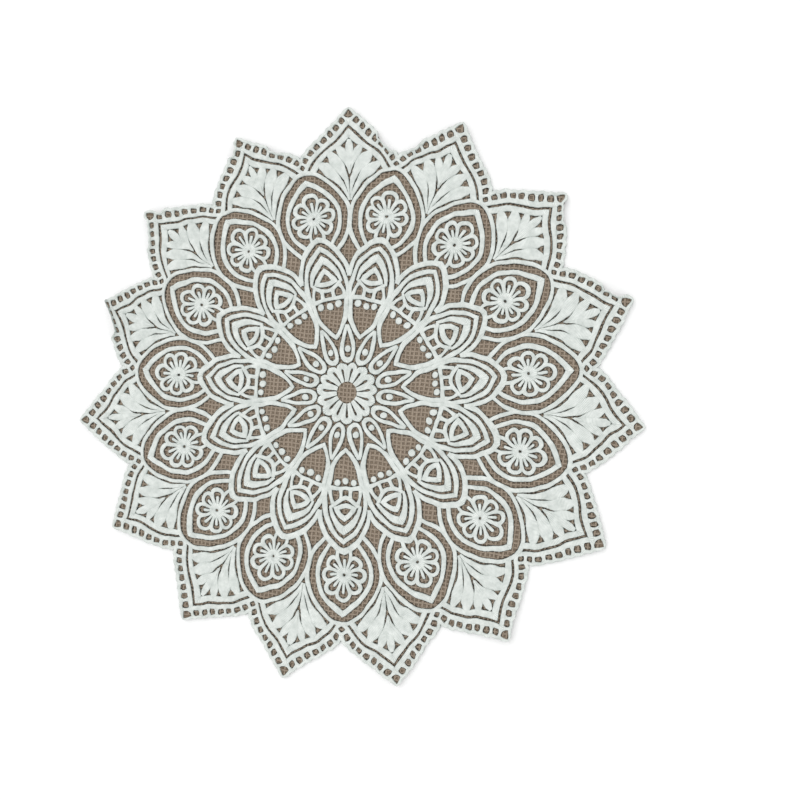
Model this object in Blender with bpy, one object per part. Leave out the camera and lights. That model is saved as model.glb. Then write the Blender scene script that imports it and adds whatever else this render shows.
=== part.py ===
"""Round embroidered tablecloth, about 400 mm across, lying flat with its face up.

One square-mesh net is embroidered all over and cut out along a border of fifteen pointed petals.
The embroidery stands up from the net, so the cloth is one solid: a plain underside, the net's level
in every window of the ornament, and the stitched bands above it. Metres, +Z up. The origin is on the
underside at the centre. Ornament sizes are in millimetres from the centre, measured along a petal's
axis or along the axis between two petals, and are turned into metres where points are made.
"""

import math
from typing import NamedTuple

import bmesh
import bpy
import numpy as np

MM = 0.001

# The cloth
SECTORS = 15
PETAL_STEP = math.tau / SECTORS
NET_THICKNESS = 1.0 * MM
EMBROIDERY_RISE = 1.0 * MM
TIP_RADIUS = 201.5
VALLEY_RADIUS = 169.5
CHORD_RADIUS = VALLEY_RADIUS * math.cos(PETAL_STEP / 2.0)

# Border of eyelets round each petal
EYELET_HALF = 2.05
SMALL_EYELET_HALF = 1.6
TIP_EYELET_HALF = 2.9
EYELETS_PER_SIDE = 7
EYELET_PITCH = 6.3
TIP_TO_FIRST_EYELET = 7.5
VALLEY_EYELET_RADIUS = 161.6

# Lines of net between the stitched bands
PETAL_GROOVE_WIDTH = 1.5
LEAF_GROOVE_WIDTH = 2.0
GROOVE_PIECES = 3
CHANNEL_PIECES = 5

# Centre
CENTRE_EYELET_RADIUS = 7.4

# The middle lies flat, and the petals are free to shift and lift
LIE_START_RADIUS = 130.0

THREAD_COLOUR = (0.72, 0.77, 0.76, 1.0)
THREAD_ROUGHNESS = 0.6


class Row(NamedTuple):
    """A point on the right half of a symmetric line, in millimetres."""

    half_width: float
    height: float


class FlowerWindow(NamedTuple):
    """A window inside one looped petal of a flower, in degrees and millimetres."""

    angle: float
    start: float
    end: float
    half_width: float


class Lie(NamedTuple):
    """How far one petal's tip is shifted sideways, drawn in and lifted, in millimetres."""

    swing: float
    draw_in: float
    lift: float


# Along a petal's axis, from its tip to the centre
PETAL_EDGE = (
    Row(0.0, TIP_RADIUS),
    Row(30.2, 173.2),
    Row(VALLEY_RADIUS * math.sin(PETAL_STEP / 2.0), CHORD_RADIUS),
)
EYELET_LINE = (
    Row(0.0, 196.2),
    Row(9.5, 186.6),
    Row(18.9, 178.4),
    Row(27.9, 169.4),
    Row(33.7, 158.5),
)
PETAL_GROOVE = (
    Row(0.0, 186.8),
    Row(10.0, 177.1),
    Row(20.3, 169.1),
    Row(28.6, 157.2),
)
PALMETTE_GAP = (
    Row(16.2, 166.4),
    Row(20.7, 161.7),
    Row(14.6, 161.6),
)
DIAMOND = (
    Row(0.0, 109.2),
    Row(6.6, 100.6),
    Row(0.0, 90.4),
)
DROP_WINDOW = (
    Row(0.0, 42.4),
    Row(2.6, 25.4),
)

# Along the axis between two petals, from the border to the centre
CHANNEL_OUTER = (
    Row(0.0, 157.3),
    Row(9.5, 153.5),
    Row(18.9, 141.5),
    Row(24.4, 126.0),
    Row(22.0, 113.0),
    Row(14.3, 102.4),
)
CHANNEL_INNER = (
    Row(0.0, 154.6),
    Row(11.9, 144.5),
    Row(18.3, 134.5),
    Row(20.3, 124.0),
    Row(18.0, 113.5),
    Row(11.3, 104.0),
)
RING_LIP = (
    Row(0.0, 149.0),
    Row(7.4, 143.7),
    Row(13.6, 136.2),
    Row(16.8, 126.0),
    Row(15.2, 115.0),
    Row(8.8, 106.3),
)
FLOWER_EDGE = (
    Row(3.6, 143.9),
    Row(5.6, 139.0),
    Row(11.4, 137.2),
    Row(15.2, 124.5),
    Row(10.2, 112.8),
    Row(4.6, 110.2),
)
FLOWER_CENTRE = 125.0
FLOWER_TOP_WINDOW = (
    Row(0.0, 140.8),
    Row(3.8, 137.4),
    Row(0.0, 131.5),
)
FLOWER_SIDE_WINDOWS = (
    FlowerWindow(45.0, 6.0, 13.4, 2.4),
    FlowerWindow(90.0, 6.0, 12.4, 2.4),
    FlowerWindow(135.0, 6.0, 12.4, 2.5),
)
FLOWER_FOOT_WINDOW = (
    Row(0.0, 119.0),
    Row(2.9, 112.0),
)
LEAF_GROOVE = (
    Row(0.0, 105.5),
    Row(7.4, 99.7),
    Row(12.8, 91.5),
    Row(15.0, 82.8),
)
LEAF_DROP = (
    Row(0.0, 85.2),
    Row(3.9, 79.6),
)
LEAF_SIDE_CELL = (
    Row(5.7, 73.3),
    Row(9.0, 71.0),
    Row(8.7, 67.8),
    Row(5.3, 67.2),
)
LEAF_WINDOW = (
    Row(9.8, 63.6),
    Row(8.1, 52.6),
    Row(0.0, 42.2),
)
DROP_GAP = (
    Row(3.3, 37.9),
    Row(0.0, 28.6),
)

# Petals clockwise from the one that points to +Y
PETAL_LIES = (
    Lie(-2.0, 0.0, 1.5),
    Lie(-3.1, 0.4, 3.0),
    Lie(-0.1, 1.5, 1.0),
    Lie(0.3, 0.0, 2.0),
    Lie(0.8, 0.2, 1.0),
    Lie(-0.2, 0.0, 1.5),
    Lie(4.7, 3.6, 3.5),
    Lie(3.7, 0.0, 2.5),
    Lie(0.3, 0.0, 1.0),
    Lie(-1.3, 3.2, 1.5),
    Lie(1.1, 3.5, 2.0),
    Lie(-0.3, 0.4, 2.0),
    Lie(3.2, 5.5, 4.5),
    Lie(-5.2, 0.0, 3.0),
    Lie(-2.4, 0.0, 2.0),
)


def clear_scene() -> None:
    """Remove every object that a new file starts with."""
    for item in list(bpy.data.objects):
        bpy.data.objects.remove(item, do_unlink=True)


def distance_along(line: np.ndarray) -> np.ndarray:
    """How far along a line each of its points lies."""
    return np.concatenate([[0.0], np.cumsum(np.hypot(*np.diff(line, axis=0).T))])


def point_at(line: np.ndarray, distance: float) -> np.ndarray:
    """The point at a distance along a line."""
    travel = distance_along(line)
    return np.array([np.interp(distance, travel, line[:, axis]) for axis in (0, 1)])


def even_points(line: np.ndarray, pieces: int) -> np.ndarray:
    """The same line with its points at even distances."""
    length = distance_along(line)[-1]
    return np.array([point_at(line, length * step / pieces) for step in range(pieces + 1)])


def smooth_line(rows, pieces: int) -> np.ndarray:
    """Points at even distances along a smooth line through the rows."""
    knots = np.array(rows, dtype=float)
    padded = np.vstack([2.0 * knots[0] - knots[1], knots, 2.0 * knots[-1] - knots[-2]])
    fine = []
    for start in range(len(knots) - 1):
        p0, p1, p2, p3 = padded[start:start + 4]
        for t in np.linspace(0.0, 1.0, 24, endpoint=False):
            slope = (p2 - p0) * t
            bend = (2.0 * p0 - 5.0 * p1 + 4.0 * p2 - p3) * t ** 2
            turn = (3.0 * p1 - p0 - 3.0 * p2 + p3) * t ** 3
            fine.append(p1 + 0.5 * (slope + bend + turn))
    fine.append(knots[-1])
    return even_points(np.array(fine), pieces)


def shifted_line(line: np.ndarray, distance: float) -> np.ndarray:
    """A right-hand half line moved outwards, and trimmed or carried on to the axis."""
    direction = np.gradient(line, axis=0)
    direction /= np.hypot(*direction.T)[:, None]
    moved = line + distance * np.column_stack([-direction[:, 1], direction[:, 0]])
    start = max(int(np.flatnonzero(moved[:, 0] > 0.0)[0]), 1)
    upper, lower = moved[start - 1], moved[start]
    top = upper - (lower - upper) * upper[0] / (lower[0] - upper[0])
    return np.vstack([top, moved[start:]])


def mirrored(half) -> list:
    """A whole line from its right half, listed from the left end to the right end."""
    right = [tuple(point) for point in half]
    left = [(-x, y) for x, y in reversed(right) if x > 1e-6]
    return left + right


def closed_on_axis(half) -> list:
    """A closed outline from its right half, listed from the top to the bottom."""
    right = [tuple(point) for point in half]
    left = [(-x, y) for x, y in reversed(right) if x > 1e-6]
    return right + left


def band_between(outer, inner) -> list:
    """The outline between two arches, each given as its right half."""
    return mirrored(outer) + mirrored(inner)[::-1]


def on_both_sides(outline) -> list:
    """An outline on the right of the axis, and its mirror image on the left."""
    right = [tuple(point) for point in outline]
    return [right, [(-x, y) for x, y in reversed(right)]]


def groove_along(rows, width: float) -> list:
    """The outline of a narrow line of net that follows the rows."""
    middle = smooth_line(rows, 48)
    outer = even_points(shifted_line(middle, width / 2.0), GROOVE_PIECES)
    inner = even_points(shifted_line(middle, -width / 2.0), GROOVE_PIECES)
    return band_between(outer, inner)


def turned(outline, angle: float) -> list:
    """An outline turned clockwise about the cloth's centre."""
    c, s = math.cos(angle), math.sin(angle)
    return [(x * c + y * s, y * c - x * s) for x, y in outline]


def petal_edge() -> list:
    """One petal of the cloth's edge, from the valley on its left to just before the next valley."""
    return mirrored(PETAL_EDGE)[:-1]


def border_eyelets() -> list:
    """The square eyelets along both sides of one petal, and the one in its tip."""
    line = smooth_line(EYELET_LINE, 64)
    _, tip_height = line[0]
    tip_half = TIP_EYELET_HALF
    shapes = [closed_on_axis([(0.0, tip_height + tip_half), (tip_half, tip_height), (0.0, tip_height - tip_half)])]
    for index in range(EYELETS_PER_SIDE):
        place = TIP_TO_FIRST_EYELET + index * EYELET_PITCH
        centre = point_at(line, place)
        ahead = point_at(line, place + 1.0) - centre
        half = EYELET_HALF if index else SMALL_EYELET_HALF
        along = ahead * half / np.hypot(*ahead)
        across = np.array([-along[1], along[0]])
        square = [centre + along + across, centre + along - across, centre - along - across,
                  centre - along + across]
        shapes += on_both_sides(square)
    return shapes


def valley_eyelet() -> list:
    """The eyelet where the borders of two petals meet."""
    half = EYELET_HALF * 0.9
    return closed_on_axis([(half, VALLEY_EYELET_RADIUS + half), (half, VALLEY_EYELET_RADIUS - half)])


def flower_window(window: FlowerWindow) -> list:
    """The three-cornered window of one petal on the right of a flower."""
    turn = math.radians(window.angle)
    outward = np.array([math.sin(turn), math.cos(turn)])
    aside = np.array([math.cos(turn), -math.sin(turn)]) * window.half_width
    centre = np.array([0.0, FLOWER_CENTRE])
    return [centre + outward * window.start, centre + outward * window.end - aside,
            centre + outward * window.end + aside]


def medallion() -> list:
    """The channel round a medallion, the net round its flower, and the flower's windows."""
    channel = band_between(smooth_line(CHANNEL_OUTER, CHANNEL_PIECES), smooth_line(CHANNEL_INNER, CHANNEL_PIECES))
    shapes = [channel, band_between(RING_LIP, FLOWER_EDGE)]
    for window in FLOWER_SIDE_WINDOWS:
        shapes += on_both_sides(flower_window(window))
    return shapes + [closed_on_axis(FLOWER_TOP_WINDOW), closed_on_axis(FLOWER_FOOT_WINDOW)]


def on_petal_axis() -> list:
    """Every window that lies along one petal's axis."""
    shapes = border_eyelets()
    shapes.append(groove_along(PETAL_GROOVE, PETAL_GROOVE_WIDTH))
    shapes += on_both_sides(PALMETTE_GAP)
    return shapes + [closed_on_axis(DIAMOND), closed_on_axis(DROP_WINDOW)]


def between_petals() -> list:
    """Every window that lies along the axis between two petals."""
    shapes = [valley_eyelet()]
    shapes += medallion()
    shapes.append(groove_along(LEAF_GROOVE, LEAF_GROOVE_WIDTH))
    shapes += on_both_sides(LEAF_SIDE_CELL)
    return shapes + [closed_on_axis(rows) for rows in (LEAF_DROP, LEAF_WINDOW, DROP_GAP)]


def centre_eyelet() -> list:
    """The round window at the centre, with one corner a petal."""
    return [(CENTRE_EYELET_RADIUS * math.sin(sector * PETAL_STEP),
             CENTRE_EYELET_RADIUS * math.cos(sector * PETAL_STEP)) for sector in range(SECTORS)]


def filled(name: str, outlines, thickness: float, height: float) -> bpy.types.Mesh:
    """A mesh of the filled outlines, that many metres thick, with its middle at a height.

    The curve is drawn in millimetres and scaled down, which keeps its fill exact.
    """
    curve = bpy.data.curves.new(name, "CURVE")
    curve.dimensions = "2D"
    curve.fill_mode = "BOTH"
    curve.extrude = thickness / 2.0 / MM
    for outline in outlines:
        spline = curve.splines.new("POLY")
        spline.points.add(len(outline) - 1)
        for point, (x, y) in zip(spline.points, outline):
            point.co = (x, y, 0.0, 1.0)
        spline.use_cyclic_u = True
    drawn = bpy.data.objects.new(name, curve)
    drawn.location.z = height
    drawn.scale = (MM, MM, MM)
    bpy.context.scene.collection.objects.link(drawn)
    bpy.context.view_layer.update()
    evaluated = drawn.evaluated_get(bpy.context.evaluated_depsgraph_get())
    mesh = bpy.data.meshes.new_from_object(evaluated)
    mesh.transform(drawn.matrix_world)
    bpy.data.objects.remove(drawn)
    return mesh


def sunk_slab(edge, windows) -> bmesh.types.BMesh:
    """A slab of the cloth's outline, with every window sunk from the top to the net."""
    top = NET_THICKNESS + EMBROIDERY_RISE
    work = bmesh.new()
    work.from_mesh(filled("embroidery", [edge] + windows, top, top / 2.0))
    bmesh.ops.remove_doubles(work, verts=work.verts, dist=1e-6)
    undersides = [face for face in work.faces if face.calc_center_median().z < 1e-6]
    bmesh.ops.delete(work, geom=undersides, context="FACES")
    for vert in work.verts:
        if vert.co.z < 1e-6 and not on_edge(vert.co, edge):
            vert.co.z = NET_THICKNESS
    work.from_mesh(filled("windows", windows, 0.0, NET_THICKNESS))
    work.from_mesh(filled("underside", [edge], 0.0, 0.0))
    bmesh.ops.remove_doubles(work, verts=work.verts, dist=1e-6)
    bmesh.ops.recalc_face_normals(work, faces=work.faces)
    for height in (NET_THICKNESS, top):
        level = [face for face in work.faces if all(abs(vert.co.z - height) < 1e-6 for vert in face.verts)]
        inside = {edge for face in level for edge in face.edges
                  if all(linked in level for linked in edge.link_faces)}
        bmesh.ops.beautify_fill(work, faces=level, edges=list(inside), method="ANGLE")
    return work


def on_edge(point, edge) -> bool:
    """Whether a point lies on a corner of the cloth's edge."""
    return min(math.hypot(point.x - x * MM, point.y - y * MM) for x, y in edge) < 1e-6


def fold_at_chords(work: bmesh.types.BMesh) -> None:
    """Give the underside an edge from each valley to the next, where a petal can fold."""
    underside = [face for face in work.faces if face.calc_center_median().z < 1e-6]
    inner_edges = {edge for face in underside for edge in face.edges if len(edge.link_faces) == 2
                   and all(linked.normal.z < -0.5 for linked in edge.link_faces)}
    bmesh.ops.dissolve_edges(work, edges=list(inner_edges), use_verts=False)
    valleys = [vert for vert in work.verts if vert.co.z < 1e-6
               and abs(math.hypot(vert.co.x, vert.co.y) - VALLEY_RADIUS * MM) < 1e-6]
    valleys.sort(key=lambda vert: math.atan2(vert.co.x, vert.co.y))
    for first, second in zip(valleys, valleys[1:] + valleys[:1]):
        bmesh.ops.connect_verts(work, verts=[first, second])
    bmesh.ops.triangulate(work, faces=[face for face in work.faces if len(face.verts) > 3])


def petal_shift(x: float, y: float) -> tuple:
    """How far a point of the flat cloth moves sideways, outwards and up, in metres."""
    radius = math.hypot(x, y)
    place = (math.atan2(x, y) / PETAL_STEP) % SECTORS
    before = int(place)
    part = place - before
    blend = part * part * (3.0 - 2.0 * part)
    first, second = PETAL_LIES[before % SECTORS], PETAL_LIES[(before + 1) % SECTORS]
    reach = (radius - LIE_START_RADIUS * MM) / ((TIP_RADIUS - LIE_START_RADIUS) * MM)
    weight = min(max(reach, 0.0), 1.0)
    swing = weight * (first.swing + blend * (second.swing - first.swing)) * MM
    outward = -weight * (first.draw_in + blend * (second.draw_in - first.draw_in)) * MM
    nearest = round(place)
    along_axis = radius * math.cos((place - nearest) * PETAL_STEP)
    beyond_chord = (along_axis - CHORD_RADIUS * MM) / ((TIP_RADIUS - CHORD_RADIUS) * MM)
    rise = max(beyond_chord, 0.0) * PETAL_LIES[nearest % SECTORS].lift * MM
    return swing, outward, rise


def lay(work: bmesh.types.BMesh) -> None:
    """Shift and lift the petals, each as one flap."""
    for vert in work.verts:
        x, y = vert.co.x, vert.co.y
        swing, outward, rise = petal_shift(x, y)
        radius = max(math.hypot(x, y), 1e-9)
        vert.co.x += (outward * x + swing * y) / radius
        vert.co.y += (outward * y - swing * x) / radius
        vert.co.z += rise


def thread_material() -> bpy.types.Material:
    """Plain matt cotton thread."""
    material = bpy.data.materials.new("white_thread")
    material.use_nodes = True
    shader = material.node_tree.nodes["Principled BSDF"]
    shader.inputs["Base Color"].default_value = THREAD_COLOUR
    shader.inputs["Roughness"].default_value = THREAD_ROUGHNESS
    shader.inputs["Metallic"].default_value = 0.0
    return material


def make_cloth() -> bpy.types.Object:
    """The whole cloth as one solid."""
    edge = []
    windows = [centre_eyelet()]
    for sector in range(SECTORS):
        angle = sector * PETAL_STEP
        edge += turned(petal_edge(), angle)
        windows += [turned(shape, angle) for shape in on_petal_axis()]
        windows += [turned(shape, angle + PETAL_STEP / 2.0) for shape in between_petals()]
    work = sunk_slab(edge, windows)
    fold_at_chords(work)
    lay(work)
    mesh = bpy.data.meshes.new("tablecloth")
    work.to_mesh(mesh)
    work.free()
    mesh.materials.append(thread_material())
    cloth = bpy.data.objects.new("tablecloth", mesh)
    parts = bpy.data.collections.new("round_tablecloth")
    bpy.context.scene.collection.children.link(parts)
    parts.objects.link(cloth)
    return cloth


clear_scene()
make_cloth()
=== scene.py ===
"""Looks of a round embroidered tablecloth that lies flat with its face up.

The cloth is a taupe plain-woven net, closed in its meshes by fine fibres of a darker brown that
is partly painted shade, that carries white cotton embroidery in satin-stitched bands. A dark piece
beside every band paints the shade in the hollows next to the stitching. Every class holds the
sizes of one part of the ornament. Sizes are in millimetres, given as (distance from the axis,
distance from the cloth's centre) along a petal's axis or along the axis between two petals, and
are turned into metres when a mesh is made. The rows follow edges that were measured in the
photograph.
"""

import logging
import math
from dataclasses import dataclass, field
from enum import Enum
from typing import ClassVar, Iterable, NamedTuple, Sequence

import bmesh
import bpy
import numpy as np
from mathutils import Matrix, Vector


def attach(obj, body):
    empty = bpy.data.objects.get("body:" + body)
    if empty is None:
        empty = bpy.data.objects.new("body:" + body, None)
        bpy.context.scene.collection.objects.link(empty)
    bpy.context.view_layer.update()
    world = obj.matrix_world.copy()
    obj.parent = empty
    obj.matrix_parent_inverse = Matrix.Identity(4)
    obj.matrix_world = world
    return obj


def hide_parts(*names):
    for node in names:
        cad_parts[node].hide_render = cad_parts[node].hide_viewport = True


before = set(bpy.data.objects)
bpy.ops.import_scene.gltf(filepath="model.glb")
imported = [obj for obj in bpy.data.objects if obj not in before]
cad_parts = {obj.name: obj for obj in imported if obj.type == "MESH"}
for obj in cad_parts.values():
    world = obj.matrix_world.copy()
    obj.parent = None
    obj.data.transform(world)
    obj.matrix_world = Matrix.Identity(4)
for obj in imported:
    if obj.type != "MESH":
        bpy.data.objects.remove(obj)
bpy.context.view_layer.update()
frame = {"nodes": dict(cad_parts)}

log = logging.getLogger("tablecloth")

MM = 0.001
SECTORS = 15
PETAL_STEP = math.tau / SECTORS
TIP_RADIUS = 201.5
# Where a petal's edge turns from its tip's side towards the valley
SHOULDER = (30.2, 173.2)
VALLEY_RADIUS = 169.5
CHORD_RADIUS = VALLEY_RADIUS * math.cos(PETAL_STEP / 2.0)
LIE_START_RADIUS = 130.0
# A corner's mitre grows to at most the inverse of this
MITRE_LIMIT = 0.7
# A length that counts as none, in the unit of the places it is compared with
TINY = 1e-9
# How many places a smooth line has between two rows
FINE_PLACES = 16
# Where round ends have their points, as angles from the end's square edge
ROUNDING = np.radians([25.0, 48.0, 68.0, 84.0])
# How fast a wave texture's phase grows along its scaled coordinate
WAVE_RATE = 20.0
# What each point of a rail tells the sweep, and as what kind of attribute
RAIL_FIELDS = {"spine": "FLOAT_VECTOR", "side": "FLOAT_VECTOR", "half_width": "FLOAT",
               "foot": "FLOAT", "crown": "FLOAT", "along": "FLOAT"}


class Row(NamedTuple):
    """A point of a band's middle line and the band's half width there, in millimetres."""

    x: float
    y: float
    half: float


def line_of(*places: tuple[float, float, float]) -> tuple[Row, ...]:
    """Rows from their numbers."""
    return tuple(Row(*place) for place in places)


class Axis(Enum):
    """The line that a part of the ornament is measured along."""

    PETAL = 0.0
    VALLEY = 0.5


class Fold(Enum):
    """How a band and its mirror image across the axis go together."""

    ALONE = "no mirror image"
    PAIR = "two bands"
    ARCH = "joined at the start"
    LOOP = "joined at both ends"


class Lie(NamedTuple):
    """How far one petal's tip is shifted sideways, drawn in and lifted, in millimetres."""

    swing: float
    draw_in: float
    lift: float


class TurnedRim(NamedTuple):
    """A stretch of a petal's rim that stands up, with distances from the tip in millimetres."""

    petal: int
    side: float
    start: float
    stop: float
    degrees: float


# Petals clockwise from the one that points to +Y. Swing and draw-in are the tips' offsets as
# measured in the photograph, and the lifts are guessed
PETAL_LIES = (
    Lie(-2.0, 0.0, 1.5),
    Lie(-3.1, 0.4, 3.0),
    Lie(-0.1, 1.5, 1.0),
    Lie(0.3, 0.0, 2.0),
    Lie(0.8, 0.2, 1.0),
    Lie(-0.2, 0.0, 1.5),
    Lie(4.7, 3.6, 3.5),
    Lie(3.7, 0.0, 2.5),
    Lie(0.3, 0.0, 1.0),
    Lie(-1.3, 3.2, 1.5),
    Lie(1.1, 3.5, 2.0),
    Lie(-0.3, 0.4, 2.0),
    Lie(3.2, 5.5, 4.5),
    Lie(-5.2, 0.0, 3.0),
    Lie(-2.4, 0.0, 2.0),
)
TURNED_RIMS = (
    TurnedRim(0, 1.0, 26.0, 50.0, 52.0),
    TurnedRim(1, -1.0, 30.0, 48.0, 50.0),
    TurnedRim(2, 1.0, 2.0, 26.0, 45.0),
    TurnedRim(3, -1.0, 4.0, 26.0, 60.0),
    TurnedRim(12, -1.0, -16.0, 30.0, 76.0),
    TurnedRim(13, -1.0, 2.0, 30.0, 48.0),
    TurnedRim(13, 1.0, 4.0, 18.0, 48.0),
    TurnedRim(14, -1.0, 3.0, 20.0, 56.0),
    TurnedRim(14, 1.0, 22.0, 40.0, 54.0),
)
RIM_WIDTH = 8.0
RIM_EASE = 6.0
# The directions along the right side of a petal's tip and square to it, outwards
RIM_ALONG = (0.73, -0.684)
RIM_NORMAL = (0.684, 0.73)
# A rim curls as it turns, so it rises by only this share of what a stiff one would
RIM_RISE = 0.35
# The wander of hand-guided stitching is made of waves of these lengths
WANDER_LENGTHS = (47.0, 31.0, 19.0, 12.0)


def clockwise(x: np.ndarray, y: np.ndarray, angle: float) -> tuple[np.ndarray, np.ndarray]:
    """Places turned clockwise about the centre by an angle in radians."""
    c, s = math.cos(angle), math.sin(angle)
    return x * c + y * s, y * c - x * s


def petal_place(x: np.ndarray, y: np.ndarray) -> np.ndarray:
    """The directions of places, in petals clockwise from the one that points to +Y."""
    return (np.arctan2(x, y) / PETAL_STEP) % SECTORS


def eased(share: np.ndarray) -> np.ndarray:
    """Shares from 0 to 1 that start and stop softly."""
    return share * share * (3.0 - 2.0 * share)


def distance_along(places: np.ndarray) -> np.ndarray:
    """How far along a line each of its points lies."""
    return np.concatenate([[0.0], np.cumsum(np.hypot(*np.diff(places, axis=0).T))])


def uneven(points: np.ndarray, amplitude: float = 0.22) -> np.ndarray:
    """Shift points in the cloth's plane by a slow wander, as hand-guided stitching has.

    Args:
        points: Places on the flat cloth in metres, one a row.
        amplitude: The wander's size in millimetres.

    Returns:
        The shift of each point along X and Y, in metres.
    """
    random = np.random.default_rng(15)
    shift = np.zeros((len(points), 2))
    for wavelength in WANDER_LENGTHS:
        for axis in (0, 1):
            heading, phase = random.uniform(0.0, math.tau, 2)
            along = points[:, 0] * math.cos(heading) + points[:, 1] * math.sin(heading)
            shift[:, axis] += np.sin(along * math.tau / (wavelength * MM) + phase)
    return shift * amplitude * MM


def rims_turned(points: np.ndarray) -> np.ndarray:
    """Stand the turned stretches of the petals' rims up about the groove inside them.

    Args:
        points: Places on the flat cloth in metres, one a row.

    Returns:
        The same points with those stretches turned.
    """
    moved = points.copy()
    nearest = np.rint(petal_place(points[:, 0], points[:, 1])).astype(int) % SECTORS
    along, normal = np.array(RIM_ALONG), np.array(RIM_NORMAL)
    for rim in TURNED_RIMS:
        chosen = np.flatnonzero(nearest == rim.petal)
        angle = rim.petal * PETAL_STEP
        x, y = clockwise(points[chosen, 0], points[chosen, 1], -angle)
        local = np.column_stack([x * rim.side, y]) / MM
        beyond = np.maximum(local @ normal - TIP_RADIUS * normal[1] + RIM_WIDTH, 0.0)
        travel = local @ along - TIP_RADIUS * along[1]
        share = np.minimum(travel - rim.start, rim.stop - travel) / RIM_EASE
        turn = math.radians(rim.degrees) * eased(np.clip(share, 0.0, 1.0))
        back = beyond * (1.0 - np.cos(turn)) * MM
        x, y = clockwise(-back * normal[0] * rim.side, -back * normal[1], angle)
        moved[chosen, 0] += x
        moved[chosen, 1] += y
        moved[chosen, 2] += beyond * np.sin(turn) * RIM_RISE * MM
    return moved


def laid(points: np.ndarray) -> np.ndarray:
    """Move points of the flat cloth to where the cloth lies.

    Args:
        points: Places on the flat cloth in metres, one a row.

    Returns:
        The same points with each petal shifted and lifted as one flap.
    """
    lies = np.array(PETAL_LIES)
    x, y = points[:, 0], points[:, 1]
    radius = np.maximum(np.hypot(x, y), TINY)
    place = petal_place(x, y)
    before = np.floor(place).astype(int)
    blend = eased(place - before)[:, None]
    mixed = lies[before % SECTORS] * (1.0 - blend) + lies[(before + 1) % SECTORS] * blend
    reach = (radius - LIE_START_RADIUS * MM) / ((TIP_RADIUS - LIE_START_RADIUS) * MM)
    weight = np.clip(reach, 0.0, 1.0) * MM
    swing, outward = weight * mixed[:, 0], -weight * mixed[:, 1]
    nearest = np.rint(place)
    along_axis = radius * np.cos((place - nearest) * PETAL_STEP)
    beyond = (along_axis - CHORD_RADIUS * MM) / ((TIP_RADIUS - CHORD_RADIUS) * MM)
    rise = np.maximum(beyond, 0.0) * lies[nearest.astype(int) % SECTORS, 2] * MM
    moved = rims_turned(points)
    moved[:, 0] += (outward * x + swing * y) / radius
    moved[:, 1] += (outward * y - swing * x) / radius
    moved[:, 2] += rise
    moved[:, :2] += uneven(points)
    return moved


def smooth(rows: Sequence[Row], step: float) -> np.ndarray:
    """Points at even distances along a smooth line through the rows.

    Args:
        rows: Places and half widths, in millimetres.
        step: The wanted distance between points, in millimetres.

    Returns:
        One point a row: x, y and half width.
    """
    knots = np.array(rows, dtype=float)
    padded = np.vstack([2.0 * knots[0] - knots[1], knots, 2.0 * knots[-1] - knots[-2]])
    fine = []
    for start in range(len(knots) - 1):
        p0, p1, p2, p3 = padded[start:start + 4]
        t = np.linspace(0.0, 1.0, FINE_PLACES, endpoint=False)[:, None]
        slope = (p2 - p0) * t
        bend = (2.0 * p0 - 5.0 * p1 + 4.0 * p2 - p3) * t ** 2
        turn = (3.0 * p1 - p0 - 3.0 * p2 + p3) * t ** 3
        fine.append(p1 + 0.5 * (slope + bend + turn))
    line = np.vstack(fine + [knots[-1:]])
    travel = distance_along(line[:, :2])
    count = max(int(round(travel[-1] / step)), 2)
    places = np.linspace(0.0, travel[-1], count + 1)
    return np.column_stack([np.interp(places, travel, line[:, axis]) for axis in range(3)])


def edges(line: np.ndarray, closed: bool = False) -> tuple[np.ndarray, np.ndarray]:
    """Both edges of a band, square across its middle line and mitred where it turns.

    Args:
        line: x, y and half width, one point a row.
        closed: Whether the line's end joins its start.

    Returns:
        x and y of the left and of the right edge.
    """
    places = line[:, :2]
    if closed:
        ahead, behind = np.roll(places, -1, axis=0) - places, places - np.roll(places, 1, axis=0)
    else:
        steps = np.diff(places, axis=0)
        ahead, behind = np.vstack([steps, steps[-1:]]), np.vstack([steps[:1], steps])
    ahead = ahead / np.hypot(*ahead.T)[:, None]
    heading = ahead + behind / np.hypot(*behind.T)[:, None]
    heading /= np.maximum(np.hypot(*heading.T), TINY)[:, None]
    reach = line[:, 2] / np.clip((heading * ahead).sum(axis=1), MITRE_LIMIT, 1.0)
    across = np.column_stack([heading[:, 1], -heading[:, 0]]) * reach[:, None]
    return places - across, places + across


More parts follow.
